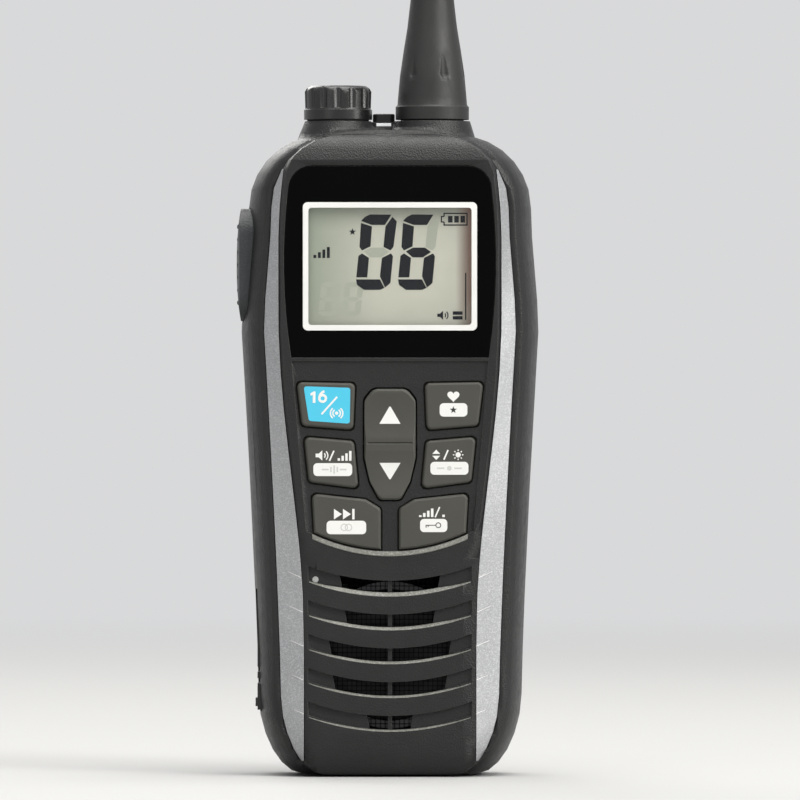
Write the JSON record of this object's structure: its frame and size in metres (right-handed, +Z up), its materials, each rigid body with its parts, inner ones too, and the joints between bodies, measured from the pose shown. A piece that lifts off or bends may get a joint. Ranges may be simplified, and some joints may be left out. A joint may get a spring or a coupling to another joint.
{
  "type": "handheld marine radio",
  "caption": "Handheld marine radio with a display, soft keys, a curved speaker grille, silver side trims, a screw-off antenna and a capped jack.",
  "frame": {"origin": "centre of the foot's flat face, half way through the depth of the case", "axes": "+Z up along the antenna, -Y out of the front panel, +X to the right as seen from the front"},
  "size_m": [0.0575, 0.0308, 0.2664],
  "materials": {
    "case_plastic": "fine moulded grain",
    "seal_rubber": "smooth matt rubber",
    "silver_paint": "speckled silver paint",
    "lens_black": "polished black",
    "clear_window": "polished clear",
    "white_print": "screen printed line",
    "lcd_glass": "grey-green reflective display",
    "light_guide": "milky light guide",
    "key_rubber": "matt grey-olive",
    "key_blue": "printed blue cap",
    "black_rubber": "matt black rubber",
    "circuit_board": "green solder mask",
    "tin_plate": "tinned",
    "die_cast": "die cast",
    "battery_wrap": "heat-shrunk film",
    "foam": "closed-cell foam",
    "steel": "plain",
    "cone_film": "pressed film",
    "mesh_cloth": "fine black net",
    "brass": "turned",
    "gold_plate": "gold plated",
    "black_steel": "black zinc",
    "switch_black": "plain",
    "light_pipe": "clear moulded"
  },
  "bodies": {
    "radio": {"front_case": "case_plastic", "rear_case": "case_plastic", "case_gasket": "seal_rubber", "trim_left": "silver_paint", "trim_right": "silver_paint", "lens_surround": "lens_black", "display_window": "clear_window", "lens_border": "white_print", "lcd_panel": "lcd_glass", "lcd_backlight": "light_guide", "key_mat": "seal_rubber", "main_board": "circuit_board", "shield_can": "tin_plate", "chassis_plate": "die_cast", "battery_pack": "battery_wrap", "battery_pad": "foam", "speaker_frame": "steel", "speaker_cone": "cone_film", "speaker_magnet": "steel", "speaker_mesh": "mesh_cloth", "mic_capsule": "tin_plate", "jack_socket": "die_cast", "antenna_connector": "gold_plate", "power_switch": "switch_black", "status_light": "light_pipe", "ptt_board": "circuit_board", "ptt_switch": "tin_plate", "usb_board": "circuit_board", "usb_socket": "tin_plate", "port_hinge_pin": "steel", "clip_inserts": "brass", "case_screws": "black_steel"},
    "call": {"key_call": "key_blue"},
    "favourite": {"key_favourite": "key_rubber"},
    "volume": {"key_volume": "key_rubber"},
    "channel": {"key_channel": "key_rubber"},
    "scan": {"key_scan": "key_rubber"},
    "power_level": {"key_power_level": "key_rubber"},
    "rocker": {"key_rocker": "key_rubber"},
    "power": {"power_key": "black_rubber"},
    "talk": {"ptt_button": "black_rubber"},
    "cap_lift": {"cap_seal": "seal_rubber"},
    "cap": {"jack_cap": "case_plastic"},
    "antenna_lift": {"antenna_seal": "seal_rubber"},
    "antenna": {"antenna_whip": "black_rubber"},
    "port_flap": {"port_cover": "black_rubber"}
  },
  "joints": [
    {"name": "call_press", "type": "slide", "parent": "radio", "child": "call", "axis": [0, 1, 0], "range_m": [0, 0.0005], "stiffness_N_per_m": 1200},
    {"name": "favourite_press", "type": "slide", "parent": "radio", "child": "favourite", "axis": [0, 1, 0], "range_m": [0, 0.0005], "stiffness_N_per_m": 1200},
    {"name": "volume_press", "type": "slide", "parent": "radio", "child": "volume", "axis": [0, 1, 0], "range_m": [0, 0.0005], "stiffness_N_per_m": 1200},
    {"name": "channel_press", "type": "slide", "parent": "radio", "child": "channel", "axis": [0, 1, 0], "range_m": [0, 0.0005], "stiffness_N_per_m": 1200},
    {"name": "scan_press", "type": "slide", "parent": "radio", "child": "scan", "axis": [0, 1, 0], "range_m": [0, 0.0005], "stiffness_N_per_m": 1200},
    {"name": "power_level_press", "type": "slide", "parent": "radio", "child": "power_level", "axis": [0, 1, 0], "range_m": [0, 0.0005], "stiffness_N_per_m": 1200},
    {"name": "rocker_tilt", "type": "hinge", "parent": "radio", "child": "rocker", "pos_m": [0, -0.01225, 0.0626], "axis": [1, 0, 0], "range_deg": [-2.5, 2.5], "stiffness_Nm_per_rad": 0.25},
    {"name": "power_press", "type": "slide", "parent": "radio", "child": "power", "axis": [0, 0, -1], "range_m": [0, 0.0005], "stiffness_N_per_m": 1200},
    {"name": "talk_press", "type": "slide", "parent": "radio", "child": "talk", "axis": [1, 0, 0], "range_m": [0, 0.0008], "stiffness_N_per_m": 2500},
    {"name": "cap_rise", "type": "slide", "parent": "radio", "child": "cap_lift", "axis": [0, 0, 1], "range_m": [0, 0.00225]},
    {"name": "cap_turn", "type": "hinge", "parent": "cap_lift", "child": "cap", "pos_m": [-0.0099, -0.0015, 0.124], "axis": [0, 0, 1], "range_deg": [0, 1081]},
    {"name": "antenna_rise", "type": "slide", "parent": "radio", "child": "antenna_lift", "axis": [0, 0, 1], "range_m": [0, 0.00353]},
    {"name": "antenna_turn", "type": "hinge", "parent": "antenna_lift", "child": "antenna", "pos_m": [0.00805, -0.0015, 0.124], "axis": [0, 0, 1], "range_deg": [0, 1801]},
    {"name": "port_open", "type": "hinge", "parent": "radio", "child": "port_flap", "pos_m": [-0.0243, -0.001, 0.0336], "axis": [0, 1, 0], "range_deg": [0, 90]}
  ],
  "couplings": [
    {"joint": "cap_turn", "follows": "cap_rise", "rad_per_m": 8377.6},
    {"joint": "antenna_turn", "follows": "antenna_rise", "rad_per_m": 8904.7}
  ]
}
